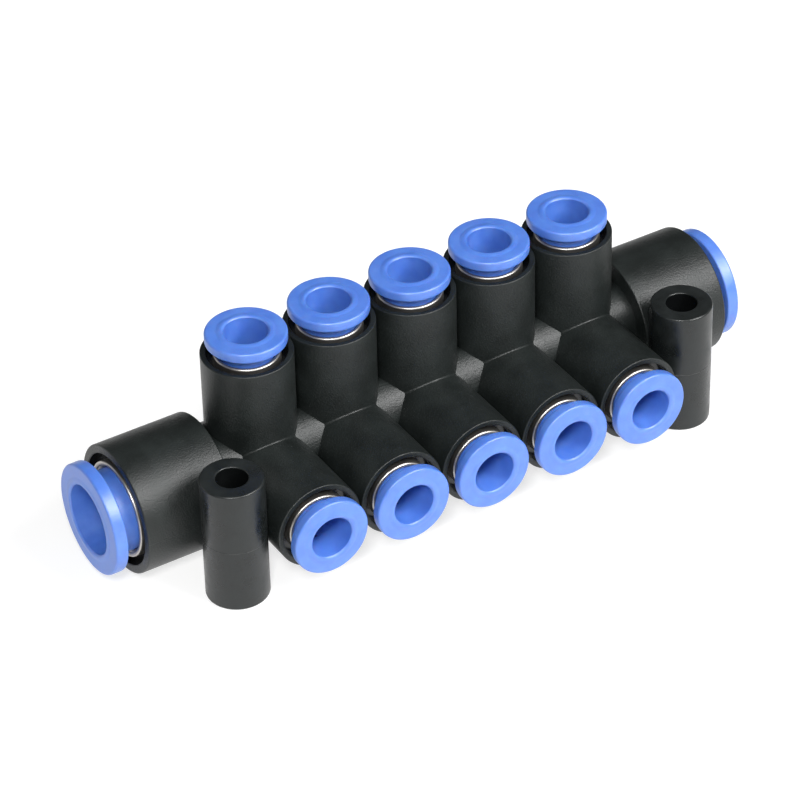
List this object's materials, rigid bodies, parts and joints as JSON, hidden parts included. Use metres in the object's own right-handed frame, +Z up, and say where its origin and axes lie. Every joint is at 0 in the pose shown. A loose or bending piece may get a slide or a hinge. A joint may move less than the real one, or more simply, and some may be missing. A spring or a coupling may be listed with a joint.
{
  "type": "pneumatic manifold fitting",
  "caption": "Black manifold block with a row of upright and a row of front push-in tube ports, a larger port at each end, blue release buttons and screw bosses, for sharing an air line.",
  "frame": {"origin": "half-way between the two mounting holes, on the face that is screwed down", "axes": "+X along the body towards the right end port, -Y out of the front ports, +Z up, along the mounting holes and out of the upright ports"},
  "size_m": [0.1015, 0.0305, 0.031],
  "materials": {
    "body_plastic": "fine grained black PBT",
    "button_plastic": "satin blue acetal",
    "ring_steel": "bright nickel-plated",
    "claw_steel": "bright spring steel",
    "seal_rubber": "matt nitrile rubber"
  },
  "bodies": {
    "manifold": {"body": "body_plastic", "guide_ring_upright_1": "ring_steel", "lock_claw_upright_1": "claw_steel", "seal_upright_1": "seal_rubber", "guide_ring_upright_2": "ring_steel", "lock_claw_upright_2": "claw_steel", "seal_upright_2": "seal_rubber", "guide_ring_upright_3": "ring_steel", "lock_claw_upright_3": "claw_steel", "seal_upright_3": "seal_rubber", "guide_ring_upright_4": "ring_steel", "lock_claw_upright_4": "claw_steel", "seal_upright_4": "seal_rubber", "guide_ring_upright_5": "ring_steel", "lock_claw_upright_5": "claw_steel", "seal_upright_5": "seal_rubber", "guide_ring_front_1": "ring_steel", "lock_claw_front_1": "claw_steel", "seal_front_1": "seal_rubber", "guide_ring_front_2": "ring_steel", "lock_claw_front_2": "claw_steel", "seal_front_2": "seal_rubber", "guide_ring_front_3": "ring_steel", "lock_claw_front_3": "claw_steel", "seal_front_3": "seal_rubber", "guide_ring_front_4": "ring_steel", "lock_claw_front_4": "claw_steel", "seal_front_4": "seal_rubber", "guide_ring_front_5": "ring_steel", "lock_claw_front_5": "claw_steel", "seal_front_5": "seal_rubber", "guide_ring_left": "ring_steel", "lock_claw_left": "claw_steel", "seal_left": "seal_rubber", "guide_ring_right": "ring_steel", "lock_claw_right": "claw_steel", "seal_right": "seal_rubber"},
    "button_upright_1": {"release_button_upright_1": "button_plastic"},
    "button_upright_2": {"release_button_upright_2": "button_plastic"},
    "button_upright_3": {"release_button_upright_3": "button_plastic"},
    "button_upright_4": {"release_button_upright_4": "button_plastic"},
    "button_upright_5": {"release_button_upright_5": "button_plastic"},
    "button_front_1": {"release_button_front_1": "button_plastic"},
    "button_front_2": {"release_button_front_2": "button_plastic"},
    "button_front_3": {"release_button_front_3": "button_plastic"},
    "button_front_4": {"release_button_front_4": "button_plastic"},
    "button_front_5": {"release_button_front_5": "button_plastic"},
    "button_left": {"release_button_left": "button_plastic"},
    "button_right": {"release_button_right": "button_plastic"}
  },
  "joints": [
    {"name": "upright_1_release", "type": "slide", "parent": "manifold", "child": "button_upright_1", "axis": [0, 0, -1], "range_m": [0, 0.0015], "stiffness_N_per_m": 200},
    {"name": "upright_2_release", "type": "slide", "parent": "manifold", "child": "button_upright_2", "axis": [0, 0, -1], "range_m": [0, 0.0015], "stiffness_N_per_m": 200},
    {"name": "upright_3_release", "type": "slide", "parent": "manifold", "child": "button_upright_3", "axis": [0, 0, -1], "range_m": [0, 0.0015], "stiffness_N_per_m": 200},
    {"name": "upright_4_release", "type": "slide", "parent": "manifold", "child": "button_upright_4", "axis": [0, 0, -1], "range_m": [0, 0.0015], "stiffness_N_per_m": 200},
    {"name": "upright_5_release", "type": "slide", "parent": "manifold", "child": "button_upright_5", "axis": [0, 0, -1], "range_m": [0, 0.0015], "stiffness_N_per_m": 200},
    {"name": "front_1_release", "type": "slide", "parent": "manifold", "child": "button_front_1", "axis": [0, 1, 0], "range_m": [0, 0.0015], "stiffness_N_per_m": 200},
    {"name": "front_2_release", "type": "slide", "parent": "manifold", "child": "button_front_2", "axis": [0, 1, 0], "range_m": [0, 0.0015], "stiffness_N_per_m": 200},
    {"name": "front_3_release", "type": "slide", "parent": "manifold", "child": "button_front_3", "axis": [0, 1, 0], "range_m": [0, 0.0015], "stiffness_N_per_m": 200},
    {"name": "front_4_release", "type": "slide", "parent": "manifold", "child": "button_front_4", "axis": [0, 1, 0], "range_m": [0, 0.0015], "stiffness_N_per_m": 200},
    {"name": "front_5_release", "type": "slide", "parent": "manifold", "child": "button_front_5", "axis": [0, 1, 0], "range_m": [0, 0.0015], "stiffness_N_per_m": 200},
    {"name": "left_release", "type": "slide", "parent": "manifold", "child": "button_left", "axis": [1, 0, 0], "range_m": [0, 0.002], "stiffness_N_per_m": 200},
    {"name": "right_release", "type": "slide", "parent": "manifold", "child": "button_right", "axis": [-1, 0, 0], "range_m": [-0.0009, 0.0011], "stiffness_N_per_m": 200}
  ]
}
